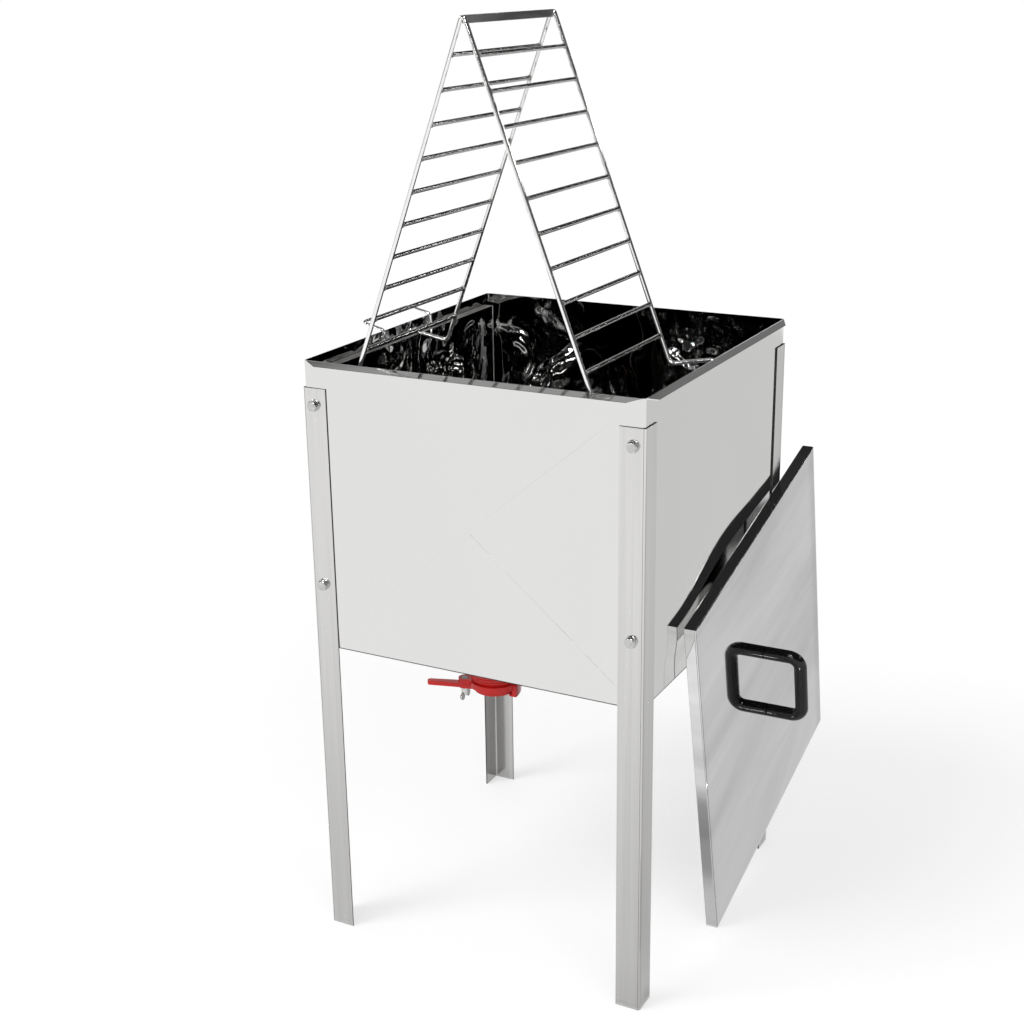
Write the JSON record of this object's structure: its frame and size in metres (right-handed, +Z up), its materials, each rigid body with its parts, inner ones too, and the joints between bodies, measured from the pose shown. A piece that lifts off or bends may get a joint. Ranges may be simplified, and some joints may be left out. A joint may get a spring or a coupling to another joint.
{
  "type": "uncapping tank",
  "caption": "Square sheet-steel uncapping tank on angle legs, with a lift-out strainer, a ladder easel for combs, a gate under its floor and a loose lid.",
  "frame": {"origin": "on the floor under the middle of the tank", "axes": "+Z up, -Y towards the front wall with the gate, +X towards the leaning lid"},
  "size_m": [0.6179, 0.7564, 1.3105],
  "materials": {
    "sheet_steel": "polished",
    "steel_angle": "brushed",
    "steel_fastener": "bright",
    "steel_rod": "bright",
    "red_plastic": "gloss",
    "black_plastic": "gloss",
    "seal_rubber": "matt"
  },
  "bodies": {
    "tank": {"tank_shell": "sheet_steel", "tank_floor": "sheet_steel", "rail_left": "steel_angle", "rail_right": "steel_angle", "outlet_pipe": "steel_angle", "leg_front_left": "steel_angle", "leg_front_right": "steel_angle", "leg_rear_left": "steel_angle", "leg_rear_right": "steel_angle", "leg_bolts": "steel_fastener", "leg_washers": "steel_fastener", "leg_nuts": "steel_fastener", "gate_body": "red_plastic", "gate_gasket": "seal_rubber", "gate_face_seal": "seal_rubber", "gate_pivot_bolt": "steel_fastener", "gate_washer": "steel_fastener"},
    "strainer": {"strainer_tray": "sheet_steel", "bail_lugs": "steel_angle"},
    "bail": {"strainer_bail": "steel_rod"},
    "easel": {"easel_front_rod": "steel_rod", "easel_rear_rod": "steel_rod", "easel_ridge": "steel_rod", "easel_rungs_left": "steel_rod", "easel_rungs_right": "steel_rod"},
    "shutter": {"gate_shutter": "red_plastic"},
    "wing_nut": {"gate_wing_nut": "steel_fastener"},
    "lid": {"lid_pan": "sheet_steel", "lid_handle": "black_plastic", "lid_handle_screws": "steel_fastener", "lid_handle_washers": "steel_fastener"}
  },
  "joints": [
    {"name": "strainer_lift", "type": "slide", "parent": "tank", "child": "strainer", "axis": [0, 0, 1], "range_m": [0, 0.36]},
    {"name": "easel_lift", "type": "slide", "parent": "strainer", "child": "easel", "axis": [0, 0, 1], "range_m": [0, 0.3]},
    {"name": "bail_swing", "type": "hinge", "parent": "strainer", "child": "bail", "pos_m": [-0.2415, 0, 0.8542], "axis": [0, 1, 0], "range_deg": [0, 95]},
    {"name": "gate_swing", "type": "hinge", "parent": "tank", "child": "shutter", "pos_m": [-0.04112, -0.20707, 0.4125], "axis": [0, 0, 1], "range_deg": [0, 85]},
    {"name": "wing_nut_turn", "type": "hinge", "parent": "tank", "child": "wing_nut", "pos_m": [-0.04112, -0.20707, 0.402], "axis": [0, 0, 1], "continuous": true},
    {"name": "lid_lift", "type": "slide", "parent": "tank", "child": "lid", "axis": [0.342, 0, 0.9397], "range_m": [0, 0.5]}
  ]
}
